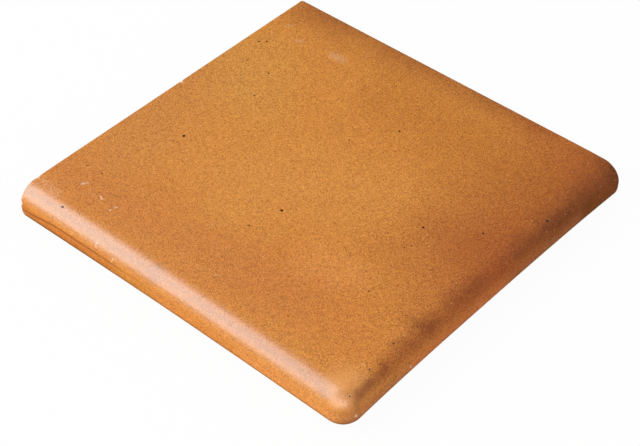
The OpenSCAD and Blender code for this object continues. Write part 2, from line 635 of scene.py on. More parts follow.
def allChips():
    dice = random.Random(chipSpread["seed"])
    chips = [(Vector(place) * mm, r * mm, d * mm) for place, r, d in namedChips]
    for i in range(chipSpread["count"]):
        s = dice.uniform(bedInset, wallLength - bedInset)
        r = dice.uniform(*chipSpread["radius"]) * mm
        (x, y), _ = wallPoint(s, 0.0)
        chips.append((Vector((x, y, underZ)), r, r * dice.uniform(*chipSpread["depthShare"])))
    return chips


def refineChips(mesh, chips):
    # a finer mesh where the chips are
    bm = bmesh.new()
    bm.from_mesh(mesh)

    def isNear(edge):
        middle = (edge.verts[0].co + edge.verts[1].co) / 2
        return any((middle - place).length < r * chipSpread["refine"] for place, r, d in chips)
    for turn in range(2):
        near = [e for e in bm.edges if e.calc_length() > chipSpread["finest"] * mm and isNear(e)]
        bmesh.ops.subdivide_edges(bm, edges=near, cuts=1)
        bmesh.ops.triangulate(bm, faces=[f for f in bm.faces if len(f.verts) > 4])
    bmesh.ops.dissolve_degenerate(bm, dist=0.002 * mm, edges=bm.edges)
    bm.to_mesh(mesh)
    bm.free()


class Skin:
    # the tile's points at rest, where they lie, and where the wear moves them
    def __init__(self, mesh):
        self.rest = self.read(mesh.vertices, "co", 3)
        self.normal = self.read(mesh.vertices, "normal", 3)
        self.fromGlaze = self.read(mesh.attributes["fromGlaze"].data, "value")
        self.pit = self.read(mesh.attributes["pit"].data, "value")
        self.chipped = np.zeros(len(self.rest))
        self.crease = np.zeros(len(self.rest))
        self.moved = self.rest.copy()
        self.x, self.y, self.z = self.rest.T
        self.inFront, self.inSide = self.y + halfY, halfX - self.x

    def read(self, data, name, width=1):
        values = np.empty(len(data) * width)
        data.foreach_get(name, values)
        return values.reshape(-1, width) if width > 1 else values

    def ripple(self, sizes, shift, only=slice(None)):
        # smooth noise, -1 to 1, of the given sizes in mm along each axis
        scaled = self.rest[only] / (np.array(sizes) * mm) + shift
        return np.array([noise.noise(p) for p in scaled.tolist()])


def bowNosings(skin, wear):
    # both nosings bow in a little between their ends
    along = np.clip(2 * (skin.x + halfX) / (2 * halfX - cornerR) - 1, -1, 1)
    front = 1 - np.abs(along) ** wear["frontBowPower"]
    along = np.clip(2 * (halfY - skin.y) / (2 * halfY - cornerR) - 1, -1, 1)
    side = 1 - np.abs(along) ** wear["sideBowPower"]
    reach = wear["bowReach"] * mm
    skin.moved[:, 1] += wear["frontBow"] * mm * front * (1 - smooth(0, reach, skin.inFront))
    skin.moved[:, 0] -= wear["sideBow"] * mm * side * (1 - smooth(0, reach, skin.inSide))


def settleTop(skin, wear):
    # the top falls slightly to the nosings and is not quite flat
    rim = tileForm["topRim"]
    upper = np.clip((skin.z - equatorZ) / nosingR, 0, 1)
    fall = 1 - smooth(nosingR, rim, skin.inFront) * smooth(nosingR, rim, skin.inSide)
    broad = 0.5 + 0.5 * skin.ripple((150, 150, 400), 3.1)
    sunk = wear["shoulderDip"] * fall + wear["topSink"] + wear["topWarp"] * broad
    skin.moved[:, 2] -= sunk * mm * upper


def peelGlaze(skin, wear):
    # fine unevenness of the glazed faces, with lines drawn along the nosings
    glazed = 1 - smooth(0.3, 1.5, skin.fromGlaze)
    peel = 0.5 + 0.35 * skin.ripple((11, 11, 11), 7.7) + 0.15 * skin.ripple((4.2, 4.2, 4.2), 1.3)
    alongFront = skin.ripple((140, 2.6, 2.6), 11.0)
    alongSide = skin.ripple((2.6, 140, 2.6), 5.0)
    onFront = 1 - smooth(0, 3 * mm, skin.inFront - skin.inSide)
    drawn = 0.5 + 0.5 * (onFront * alongFront + (1 - onFront) * alongSide)
    onNosing = 1 - smooth(nosingR, tileForm["topRim"], np.minimum(skin.inFront, skin.inSide))
    inward = (wear["peel"] * peel + wear["drawLines"] * drawn * onNosing) * mm * glazed
    skin.moved -= skin.normal * inward[:, None]


def pressMouldLine(skin, wear):
    # the mould line along the front nosing fades out before the middle
    level = wear["creaseHeight"] + wear["creaseWaver"] * skin.ripple((55, 400, 400), 2.0)
    level -= wear["creaseDrop"] * (1 - smooth(-halfX, wear["creaseDropFrom"] * mm, skin.x))
    away = np.abs(skin.z / mm - level) / wear["creaseHalfWidth"]
    ragged = skin.x / mm + wear["creaseRagged"] * skin.ripple((20, 400, 400), 9.0)
    fade = 1 - smooth(wear["creaseFrom"], wear["creaseTo"], ragged)
    front = (skin.inFront < 1.5 * mm) & (skin.inSide > cornerR)
    skin.crease = np.clip(1 - away ** 2, 0, 1) ** 1.5 * fade * front
    skin.moved[:, 1] += wear["creaseDepth"] * mm * skin.crease


def wearFoot(skin, wear):
    # the front nosing's foot is worn back at its cut end
    worn = (1 - smooth(0, 7 * mm, skin.x + halfX)) * (1 - smooth(3 * mm, 17 * mm, skin.z))
    skin.moved[:, 0] += wear["footEase"] * mm * worn * (1 - smooth(6 * mm, 20 * mm, skin.inFront))


def roughenCuts(skin, wear):
    # the cut sides are dragged by the wire, and the bed is uneven
    flush = wear["flush"] * mm
    wallX, wallY = skin.x < -halfX + flush, skin.y > halfY - flush
    torn = 0.4 + 0.6 * skin.ripple((16, 16, 1.8), 4.0) + 0.4 * skin.ripple((3, 3, 3), 8.0)
    drag = wear["wallSink"] + wear["wallRelief"] * np.clip(torn, 0, 1.4)
    skin.moved[:, 0] += np.where(wallX, drag, 0) * mm
    skin.moved[:, 1] -= np.where(wallY, drag, 0) * mm
    bed = (np.abs(skin.z - underZ) < flush) & (skin.fromGlaze > hollowBare / 2) & ~wallX & ~wallY
    uneven = wear["bedRelief"] * (0.5 + 0.5 * skin.ripple((9, 26, 50), 6.0))
    skin.moved[:, 2] += np.where(bed, uneven, 0) * mm


def knockOut(skin, hollows, mark):
    # chips and pits: hollows with ragged edges, marked for the clay's colour
    for place, r, d in hollows:
        gap = np.linalg.norm(skin.rest - np.array(place), axis=1)
        near = np.flatnonzero(gap < r * chipSpread["reach"])
        if len(near) == 0:
            continue
        inwards = -skin.normal[near].mean(0)
        inwards /= np.linalg.norm(inwards)
        ragged = 1 + chipSpread["ragged"] * skin.ripple((1.1, 1.1, 1.1), 3.0, near)
        share = np.clip(1 - (gap[near] / (r * ragged)) ** 2, 0, 1)
        skin.moved[near] += inwards * (d * np.minimum(share * 1.7, 1) * (0.75 + 0.25 * share))[:, None]
        mark[near] = np.maximum(mark[near], np.clip(share * 5, 0, 1))


def weatherTile(mesh, wear):
    chips = allChips()
    pits = [(Vector(place) * mm, r * mm, d * mm) for place, r, d in nosingPits]
    refineChips(mesh, chips + pits)
    skin = Skin(mesh)
    for change in (bowNosings, settleTop, peelGlaze, pressMouldLine, wearFoot, roughenCuts):
        change(skin, wear)
    knockOut(skin, chips, skin.chipped)
    knockOut(skin, pits, skin.pit)
    # nothing stands out of the tile's own box
    moved = np.clip(skin.moved, np.array(tileLow), np.array(tileHigh))
    mesh.vertices.foreach_set("co", moved.ravel())
    mesh.attributes["pit"].data.foreach_set("value", skin.pit.astype(np.float32))
    for label, values in (("chipped", skin.chipped), ("crease", skin.crease)):
        layer = mesh.attributes.new(label, "FLOAT", "POINT")
        layer.data.foreach_set("value", values.astype(np.float32))
    mesh.update()
    mesh.shade_smooth()
    mesh.set_sharp_from_angle(angle=math.radians(wear["softAngle"]))


clay = bpy.data.materials.new("firedClay")
tile = bpy.data.objects.new("cornerTreadTile", closeShell(buildShell(), "cornerTreadTile"))
bpy.context.scene.collection.objects.link(tile)
grooves = grooveValues()
tile.data = applyTree(tile, grooveTree(clay, grooves), grooves)
tile.data.name = "cornerTreadTile"
print("grooves cut,", len(tile.data.polygons), "faces")
weatherTile(tile.data, tileWear)
tile.data.materials.clear()
tile.data.materials.append(clay)
tile.data.polygons.foreach_set("material_index", np.zeros(len(tile.data.polygons), np.int32))
print("tile weathered,", len(tile.data.polygons), "faces")


# mineral grains fired into the surface, in metres: how many a square metre, their sizes, how far
# from the glaze they lie in mm, and how dark (0) or pale (1) they are
grainSetup = {
    "ironSpots": {"Per Area": 5200.0, "Smallest": 0.00010, "Largest": 0.00034, "Flatness": 0.22,
                  "Glaze From": -100.0, "Glaze To": 0.4, "Tone Low": 0.00, "Tone High": 0.35, "Seed": 3},
    "paleGrains": {"Per Area": 2600.0, "Smallest": 0.00010, "Largest": 0.00032, "Flatness": 0.24,
                   "Glaze From": -100.0, "Glaze To": 0.4, "Tone Low": 0.75, "Tone High": 1.00, "Seed": 8},
    "grog": {"Per Area": 9000.0, "Smallest": 0.00014, "Largest": 0.00052, "Flatness": 0.24,
             "Glaze From": 1.8, "Glaze To": 100.0, "Tone Low": 0.00, "Tone High": 1.00, "Seed": 5},
}


def grainTree(material, values):
    sheet, put = newGeometryTree("surfaceGrains", values)
    get, times = sheet.get, sheet.times

    def compare(a, b, operation):
        return get("FunctionNodeCompare", {"A": a, "B": b}, data_type="FLOAT", operation=operation)

    def dice(low, high, seed):
        return get("FunctionNodeRandomValue", {"Min": low, "Max": high, "Seed": seed}, "Value",
                   data_type="FLOAT")
    edge = get("GeometryNodeInputNamedAttribute", {"Name": "fromGlaze"}, data_type="FLOAT")
    where = get("FunctionNodeBooleanMath", {0: compare(edge, put["Glaze From"], "GREATER_THAN"),
                                            1: compare(edge, put["Glaze To"], "LESS_THAN")},
                operation="AND")
    spread = sheet.add("GeometryNodeDistributePointsOnFaces",
                       {"Mesh": put["Geometry"], "Selection": where, "Density": put["Per Area"],
                        "Seed": put["Seed"]}, distribute_method="RANDOM").outputs
    # few large grains and many small ones
    skewed = sheet.maths("POWER", dice(0.0, 1.0, put["Seed"]), 2.6)
    size = sheet.range(skewed, 0.0, 1.0, put["Smallest"], put["Largest"], False)
    scale = sheet.at(X=size, Y=times(size, dice(0.6, 1.0, 21)), Z=times(size, put["Flatness"]))
    lie = get("FunctionNodeRotateRotation", {"Rotation": spread["Rotation"],
                                             "Rotate By": sheet.at(Z=dice(0.0, 6.283, 33))},
              rotation_space="LOCAL")
    grain = get("GeometryNodeMeshIcoSphere", {"Radius": 1.0, "Subdivisions": 1})
    placed = get("GeometryNodeInstanceOnPoints", {"Points": spread["Points"], "Instance": grain,
                                                  "Rotation": lie, "Scale": scale})
    toned = get("GeometryNodeStoreNamedAttribute",
                {"Geometry": placed, "Name": "tone",
                 "Value": dice(put["Tone Low"], put["Tone High"], 14)},
                data_type="FLOAT", domain="INSTANCE")
    return closeTree(sheet, toned, material)


def scatterGrains(setup, material, name):
    tree = grainTree(material, setup["grog"])
    bm = bmesh.new()
    for kind, values in setup.items():
        mesh = applyTree(tile, tree, values)
        bm.from_mesh(mesh)
        print(kind, "scattered,", len(mesh.polygons) // 20)      # 20 faces each
    for v in bm.verts:
        v.co = Vector([min(max(c, l), h) for c, l, h in zip(v.co, tileLow, tileHigh)])
    mesh = bpy.data.meshes.new(name)
    bm.to_mesh(mesh)
    bm.free()
    mesh.materials.append(material)
    mesh.shade_smooth()
    grains = bpy.data.objects.new(name, mesh)
    bpy.context.scene.collection.objects.link(grains)
    return grains


mineral = bpy.data.materials.new("mineralGrain")
grains = scatterGrains(grainSetup, mineral, "mineralGrains")


# colours are given as they are seen, 0 to 255
def tint(r, g, b):
    def straight(v):
        v /= 255
        return v / 12.92 if v <= 0.04045 else ((v + 0.055) / 1.055) ** 2.4
    return (straight(r), straight(g), straight(b), 1.0)


# fired colours of the glazed face; places in mm
glazeLook = {
    "ochre": (216, 137, 44),
    "warmOchre": (211, 128, 37),
    "grainDark": (0.40, 0.25, 0.05),      # what the darkest and palest sand grains do to the ground
    "grainLight": (1.36, 1.55, 2.20),
    "pitDark": (52, 32, 22),
    "scuff": (246, 222, 200),
    "creaseDark": (140, 70, 18),
    "smudge": (124, 53, 6),
    "footDark": (100, 48, 14),
    "groundSize": 85.0,        # patches of the two ochres
    "cloudSize": 55.0,
    "cloudDrift": 44.0,        # how far the clouds' outlines wander
    "blotchSize": 9.0,         # breaks up the smudges
    "fineSize": 1.15,
    "sand": ((0.5, 0.76), (1.0, 0.19)),    # grain size and share
    "darkSpeck": (92, 50, 24),
    "paleSpeck": (250, 200, 135),
    "darkSpecks": (3.4, 0, 0.16, 0.10, 0.45, 0.95),    # cell size, channel that picks the cells, where a
    "paleSpecks": (4.1, 1, 0.13, 0.07, 0.60, 0.95),    # dot ends and is full, first and full pick
    "wornCorner": ((149, -149, 36), (157, -154, 31), 24),  # where the sand is smoother
    "scuffReach": 1.5,         # how far a rubbed mark fades out, over its half width
    "scuffGain": 1.25,
    "roughness": 0.39,
    "roughSpread": 0.02,
    "ior": 1.57,
    "peelSize": 2.6,
    "reliefStrength": 0.28,
    "reliefDepth": 0.00022,    # in metres
}

# bare clay on the cut sides, the foot and the bed, and fresh clay in the chips
bareLook = {
    "ground": ((206, 140, 92), (188, 116, 68)),
    "fresh": ((236, 204, 172), (214, 160, 116)),
    "dragDark": (160, 92, 50),
    "gritDark": (140, 84, 48),
    "gritPale": (236, 186, 144),
    "dust": (226, 184, 146),
    "cloudSize": 26.0,
    "dustSize": 14.0,
    "dragSize": (24.0, 24.0, 1.2),         # grain drawn along the cut sides
    "roughness": 0.86,
}

# mineral grains, from dark spots to pale grains
grainLook = {
    "tones": ((0.0, (46, 30, 22)), (0.35, (112, 66, 34)), (0.7, (214, 150, 96)), (1.0, (244, 210, 168))),
    "grit": (150, 110, 80),
    "gritSize": 0.12,
    "roughness": (0.42, 0.65),
    "ior": 1.5,
    "reliefStrength": 0.3,
    "reliefDepth": 0.00005,
}

# soft clouds of colour, mostly fired tone, with painted shade where marked: start, end, reach, colour,
# strength
toneCloudsAndPaintedShade = [
    # darker along the back edge
    ((-150, 172, 37), (86, 174, 37), 44, (162, 88, 22), 0.80),
    ((-150, 158, 37), (-50, 160, 37), 52, (182, 106, 26), 0.28),
    # darker towards the side nosing: partly fired colour, partly painted shade where the side turns away
    # from the light
    ((172, 190, 30), (172, 30, 30), 150, (160, 67, 0), 0.76),
    ((-10, 118, 37), (118, 98, 37), 60, (184, 106, 12), 0.36),
    # darkest at the side nosing's far end: partly fired colour, partly painted shade
    ((178, 190, 20), (178, 90, 20), 52, (92, 34, 0), 0.84),
    ((180, -60, 20), (180, -120, 20), 40, (170, 90, 32), 0.12),
    ((-165, -122, 37), (60, -118, 37), 58, (202, 118, 42), 0.60),
    ((60, -95, 37), (140, -112, 37), 50, (206, 120, 36), 0.38),
    ((62, -70, 37), (82, -70, 37), 32, (232, 150, 66), 0.35),
    ((-160, 20, 37), (-140, -60, 37), 60, (202, 128, 54), 0.50),
    ((-40, -40, 37), (30, 0, 37), 70, (219, 142, 54), 0.45),
    ((-150, 80, 37), (-110, 40, 37), 55, (212, 147, 56), 0.55),
]

# bands of colour along the nosings: fired tone, with painted highlight and painted shade where marked:
# start, end, reach, colour, strength
nosingTonesAndPaintedLight = [
    # darker front shoulders under the gleam: partly fired colour, partly painted shade that tempers the
    # highlight
    ((-168, -158, 32), (-25, -157, 32), 12, (144, 91, 46), 0.92),
    ((-25, -157, 32.5), (142, -158, 32.5), 11.5, (152, 96, 51), 0.92),
    ((142, -158, 33), (151, -157, 31.5), 9.5, (156, 102, 54), 0.80),
    # pale patch at the front shoulder's cut end: painted highlight that widens the gleam
    ((-168, -146, 36.8), (-140, -148, 36.6), 8, (238, 180, 132), 0.22),
    # pale top and ball at the outer corner: painted highlight under the corner gleam
    ((147, -146, 37), (154, -143, 36), 20, (232, 158, 84), 0.68),
    ((154, -158, 32), (159, -152, 32), 9, (214, 142, 80), 0.55),
    # darker stroke where the side nosing leaves the corner: partly fired colour, partly painted shade
    ((163.6, -151.6, 28), (164.4, -151.6, 12), 4.5, (150, 84, 40), 0.45),
    # the front nosing's lower round, darker at the left and paler at the right
    ((-168, -165, 13), (-70, -165, 13), 15, (204, 108, 18), 0.70),
    ((-20, -165, 13), (60, -165, 13), 15, (230, 140, 58), 0.60),
    ((70, -165, 13), (152, -165, 13), 16, (240, 153, 72), 0.75),
    # the side nosing, darker on its shoulder and at its far end: partly fired colour, partly painted shade
    # where it faces away from the light
    ((165, 168, 12), (165, 118, 12), 17, (134, 66, 18), 0.68),
    ((165, 108, 12), (165, 24, 12), 17, (188, 110, 62), 0.75),
    ((161, 108, 31), (161, 38, 31), 9, (112, 50, 8), 0.34),
    ((165, 12, 12), (165, -90, 12), 20, (226, 126, 62), 0.85),
    ((165, -104, 12), (165, -152, 12), 18, (204, 123, 72), 0.80),
    ((160, 20, 33), (160, -112, 33), 14, (170, 74, 2), 0.50),
    ((161, -117, 32), (161, -147, 31), 8, (140, 54, 4), 0.55),
]

# darker smudges over the side nosing's shoulder: start, end, reach, strength
firedSmudges = [
    ((150, -71, 36.2), (157, -65, 33), 14.7, 0.56),
    ((153, -33, 35), (157, -9, 33), 15.4, 0.34),
    ((154, -95, 35), (157, -88, 33), 11.2, 0.28),
    ((161, -147, 31.5), (161, -134, 31.5), 4.9, 0.30),
    ((153, 36, 35), (154, 52, 35), 16.8, 0.25),
    ((151, 76, 35), (158, 92, 33), 15.4, 0.25),
]

# pale rubbed marks: start, end, half width, strength
scuffMarks = [
    ((-82.4, -160.0, 30.9), (-83.3, -162.2, 27.7), 0.45, 0.85),
    ((-83.3, -162.2, 27.7), (-82.2, -163.1, 25.4), 0.45, 0.85),
    ((-63.9, -162.7, 26.2), (-65.7, -163.7, 22.6), 0.50, 0.80),
    ((-61.3, -162.8, 25.9), (-61.3, -162.9, 25.4), 0.45, 0.60),
    ((-131.3, -125.0, 36.8), (-133.1, -128.2, 36.8), 1.60, 0.40),
    ((-118.4, -130.7, 36.8), (-117.8, -130.9, 36.8), 0.90, 0.45),
    ((-112.1, -128.8, 36.8), (-109.6, -130.0, 36.8), 0.60, 0.70),
    ((-109.6, -130.0, 36.8), (-107.1, -129.8, 36.8), 0.60, 0.55),
    ((-95.4, -134.7, 36.8), (-95.0, -134.9, 36.8), 0.75, 0.90),
    ((-95.2, -129.9, 36.8), (-94.0, -129.5, 36.8), 1.10, 0.40),
    ((-27.7, -94.5, 36.8), (-24.0, -94.9, 36.8), 0.35, 0.55),
    ((11.7, -131.8, 36.8), (14.4, -130.4, 36.8), 0.42, 0.65),
    ((-0.5, -134.2, 36.8), (0.3, -134.4, 36.8), 0.40, 0.40),
    ((-149.2, 129.5, 36.8), (-148.0, 130.0, 36.8), 2.40, 0.17),
    ((-129.5, 117.9, 36.8), (-125.4, 119.7, 36.8), 2.60, 0.15),
    ((-94.3, 123.6, 36.8), (-84.9, 122.9, 36.8), 5.20, 0.15),
    ((163.4, -92.0, 17.6), (163.5, -93.0, 16.8), 0.75, 0.80),
]


def strokeGroup():
    # how near a point is to a stroke: 1 on it, falling to 0 at the reach
    tree = bpy.data.node_groups.new("softStroke", "ShaderNodeTree")
    for label, kind in (("Position", "NodeSocketVector"), ("Start", "NodeSocketVector"),
                        ("End", "NodeSocketVector"), ("Reach", "NodeSocketFloat")):
        tree.interface.new_socket(label, in_out="INPUT", socket_type=kind)
    tree.interface.new_socket("Mask", in_out="OUTPUT", socket_type="NodeSocketFloat")
    sheet = Sheet(tree)
    put = sheet.add("NodeGroupInput").outputs
    out = sheet.vector("SUBTRACT", put["Position"], put["Start"])
    line = sheet.vector("SUBTRACT", put["End"], put["Start"])
    along = sheet.vector("DOT_PRODUCT", out, line, "Value")
    size = sheet.vector("DOT_PRODUCT", line, line, "Value")
    share = sheet.get("ShaderNodeMath", {0: along, 1: size}, operation="DIVIDE", use_clamp=True)
    gap = sheet.vector("DISTANCE", out, sheet.vector("SCALE", line, share), "Value")
    sheet.add("NodeGroupOutput", {0: sheet.range(gap, 0.0, put["Reach"], 1.0, 0.0)})
    return tree


softStroke = strokeGroup()


class Desk(Sheet):
    # a sheet for one material; positions are in mm
    def __init__(self, material):
        material.use_nodes = True
        super().__init__(material.node_tree)
        self.mm = self.vector("SCALE", self.get("ShaderNodeTexCoord", None, "Object"), 1000.0)

    def noise(self, size, detail=2.0, rough=0.5, vector=None, color=False):
        return self.get("ShaderNodeTexNoise", {"Vector": vector or self.mm, "Scale": 1.0 / size,
                                               "Detail": detail, "Roughness": rough},
                        "Color" if color else 0)

    def cells(self, vector, size, channel):
        # a random value for each cell, and how far a point is from the cell's middle
        made = self.add("ShaderNodeTexVoronoi", {"Vector": vector, "Scale": 1.0 / size,
                                                 "Randomness": 1.0}).outputs
        return self.get("ShaderNodeSeparateColor", {0: made["Color"]}, channel), made["Distance"]

    def sand(self, size):
        # a random value for each small grain, with uneven outlines
        push = self.vector("SCALE", self.noise(size * 0.7, 1.0, color=True), size * 0.9)
        return self.cells(self.vector("ADD", self.mm, push), size, 0)[0]

    def specks(self, size, channel, outer, inner, least, most):
        # round specks in some of the cells, larger and smaller
        picked, distance = self.cells(self.mm, size, channel)
        return self.times(self.range(distance, outer, inner), self.range(picked, least, most))

    def mix(self, share, a, b):
        return self.get("ShaderNodeMix", {0: share, 2: a, 3: b}, data_type="FLOAT")

    def blend(self, share, a, b, kind="MIX"):
        return self.get("ShaderNodeMix", {0: share, 6: a, 7: b}, 2, data_type="RGBA", blend_type=kind)

    def value(self, name):
        return self.get("ShaderNodeAttribute", None, "Fac", attribute_name=name,
                        attribute_type="GEOMETRY")

    def stroke(self, vector, start, end, reach):
        return self.get("ShaderNodeGroup", {"Position": vector, "Start": start, "End": end,
                                            "Reach": reach}, node_tree=softStroke)

    def finish(self, colour, rough, height, look):
        relief = self.get("ShaderNodeBump", {"Strength": look["reliefStrength"],
                                             "Distance": look["reliefDepth"], "Height": height})
        shader = self.get("ShaderNodeBsdfPrincipled", {"Base Color": colour, "Roughness": rough,
                                                       "Normal": relief, "IOR": look["ior"]})
        self.add("ShaderNodeOutputMaterial", {0: shader})


def groundToneAndPaintedLight(desk, look):
    # the fired ground colour, its clouds, bands and smudges, with the painted shade and painted highlight
    # among the clouds and bands
    wander = desk.noise(look["cloudSize"], 3.0, 0.55, color=True)
    wander = desk.vector("ADD", wander, (-0.5, -0.5, -0.5))
    drifted = desk.vector("ADD", desk.mm, desk.vector("SCALE", wander, look["cloudDrift"]))
    broad = desk.range(desk.noise(look["groundSize"], 3.0, 0.5), 0.35, 0.68)
    colour = desk.blend(desk.times(broad, 0.45), tint(*look["ochre"]), tint(*look["warmOchre"]))
    for strokes, place in ((toneCloudsAndPaintedShade, drifted), (nosingTonesAndPaintedLight, desk.mm)):
        for start, end, reach, fired, strength in strokes:
            mask = desk.times(desk.stroke(place, start, end, reach), strength)
            colour = desk.blend(mask, colour, tint(*fired))
    blotch = desk.range(desk.noise(look["blotchSize"], 4.0, 0.65), 0.36, 0.60, 0.35, 1.0)
    for start, end, reach, strength in firedSmudges:
        mask = desk.times(desk.stroke(desk.mm, start, end, reach), blotch)
        colour = desk.blend(desk.times(mask, strength), colour, tint(*look["smudge"]))
    return colour


def strewSand(desk, colour, fine, look):
    # each grain of sand is a little darker or paler than the ground
    mid = desk.range(desk.noise(4.5, 3.0, 0.6), 0.42, 0.72, 0.0, 0.08)
    colour = desk.blend(mid, colour, tint(*look["warmOchre"]), "MULTIPLY")
    small, large = [desk.times(desk.sand(size), part) for size, part in look["sand"]]
    sand = desk.maths("ADD", small, large)
    sand = desk.maths("ADD", sand, desk.range(fine, 0.25, 0.75, 0.0, 0.05, False))
    calm = desk.range(desk.stroke(desk.mm, *look["wornCorner"]), 0.0, 0.8, 1.0, 0.4)
    for end, name in ((0.0, "grainDark"), (1.0, "grainLight")):
        share = desk.times(desk.range(sand, 0.5, end, 0.0, 1.0, False), calm)
        colour = desk.blend(share, colour, desk.blend(1.0, colour, look[name] + (1,), "MULTIPLY"))
    dark, pale = desk.specks(*look["darkSpecks"]), desk.specks(*look["paleSpecks"])
    colour = desk.blend(desk.times(dark, 0.75), colour, tint(*look["darkSpeck"]))
    colour = desk.blend(desk.times(pale, 0.70), colour, tint(*look["paleSpeck"]))
    return colour, pale


def bareBody(desk, look, fine, drag):
    # the clay where no glaze lies: cloudy, dragged by the cutting wire, gritty and dusty
    first, second = look["ground"]
    cloudy = desk.range(desk.noise(look["cloudSize"], 3.0, 0.55), 0.35, 0.65)
    body = desk.blend(cloudy, tint(*first), tint(*second))
    dusty = desk.noise(look["dustSize"], 4.0, 0.65)
    for pattern, low, high, most, name in (
            (drag, 0.45, 0.70, 0.35, "dragDark"), (fine, 0.50, 0.74, 0.55, "gritDark"),
            (fine, 0.46, 0.26, 0.45, "gritPale"), (dusty, 0.52, 0.70, 0.40, "dust")):
        body = desk.blend(desk.range(pattern, low, high, 0.0, most), body, tint(*look[name]))
    return body


def rubMarks(desk, look):
    # how rubbed the glaze is, from all the pale marks together
    broken = desk.range(desk.noise(1.2, 3.0, 0.65), 0.40, 0.56)
    rubbed = None
    for start, end, width, strength in scuffMarks:
        mask = desk.times(desk.stroke(desk.mm, start, end, width * look["scuffReach"]), broken)
        mask = desk.times(mask, strength * look["scuffGain"])
        rubbed = desk.larger(rubbed, mask) if rubbed else mask
    return rubbed


def paintClay(material, look, bareClay):
    desk = Desk(material)
    fine = desk.noise(look["fineSize"], 2.0, 0.6)
    drawn = desk.vector("MULTIPLY", desk.mm, [1 / size for size in bareClay["dragSize"]])
    drag = desk.noise(1.0, 3.0, 0.6, drawn)
    colour, pale = strewSand(desk, groundToneAndPaintedLight(desk, look), fine, look)

    # the foot darker towards the floor, mostly at the left of the front and at the back of the side
    across, deep, up = desk.add("ShaderNodeSeparateXYZ", {0: desk.mm}).outputs
    along = desk.larger(desk.range(across, -40.0, -110.0, 0.5, 1.0), desk.range(deep, 20.0, 130.0))
    foot = desk.times(desk.range(up, 14.0, 9.0, 0.0, 0.85), along)
    pit, rubbed = desk.value("pit"), rubMarks(desk, look)
    for share, name in ((foot, "footDark"), (desk.times(desk.value("crease"), 0.78), "creaseDark"),
                        (desk.range(pit, 0.05, 0.9), "pitDark"), (rubbed, "scuff")):
        colour = desk.blend(share, colour, tint(*look[name]))

    # bare clay on the cut sides, the foot and the bed, and fresh clay in the chips
    away = desk.value("fromGlaze")
    edge = desk.maths("ADD", away, desk.range(desk.noise(7.0, 3.0, 0.6), 0.2, 0.8, -1.7, 1.2))
    bare = desk.times(desk.range(edge, 0.7, 1.5), desk.range(away, 0.05, 0.40))
    colour = desk.blend(bare, colour, bareBody(desk, bareClay, fine, drag))
    chipped = desk.value("chipped")
    first, second = bareClay["fresh"]
    fresh = desk.blend(desk.range(fine, 0.3, 0.7), tint(*first), tint(*second))
    colour = desk.blend(desk.range(chipped, 0.15, 0.75, 0.0, 0.9), colour, fresh)

    # pits are glassy in the top and dry in the nosings; bare, rubbed and chipped clay is dull
    dull = desk.larger(desk.larger(bare, rubbed), desk.range(chipped, 0.1, 0.6))
    least, most = look["roughness"] - look["roughSpread"], look["roughness"] + look["roughSpread"]
    gloss = desk.range(desk.noise(3.2, 3.0, 0.6), 0.3, 0.7, least, most, False)
    gloss = desk.mix(desk.range(pit, 0.1, 0.6), gloss, desk.range(up, 35.6, 36.3, 0.80, 0.18))
    rough = desk.mix(dull, gloss, bareClay["roughness"])

    # sandy grain and pores stand in the relief as well
    peel = desk.times(desk.noise(look["peelSize"], 2.0, 0.5), 0.6)
    glazed = desk.maths("ADD", desk.times(fine, 0.5), peel)
    raw = desk.maths("ADD", desk.times(drag, 1.6), desk.times(fine, 1.8))
    height = desk.maths("SUBTRACT", desk.mix(bare, glazed, raw), desk.times(pale, 0.5))
    desk.finish(colour, rough, height, look)


def paintGrains(material, look):
    desk = Desk(material)
    tone = desk.value("tone")
    ramp = desk.add("ShaderNodeValToRGB", {0: tone})
    stops = ramp.color_ramp.elements
    while len(stops) < len(look["tones"]):
        stops.new(0.5)
    for stop, (place, colour) in zip(stops, look["tones"]):
        stop.position = place
        stop.color = tint(*colour)
    grit = desk.noise(look["gritSize"], 2.0, 0.6)
    share = desk.range(grit, 0.35, 0.7, 0.0, 0.4)
    colour = desk.blend(share, ramp.outputs[0], tint(*look["grit"]), "MULTIPLY")
    desk.finish(colour, desk.range(tone, 0.0, 1.0, *look["roughness"]), grit, look)


paintClay(clay, glazeLook, bareLook)
paintGrains(mineral, grainLook)
print("materials painted")

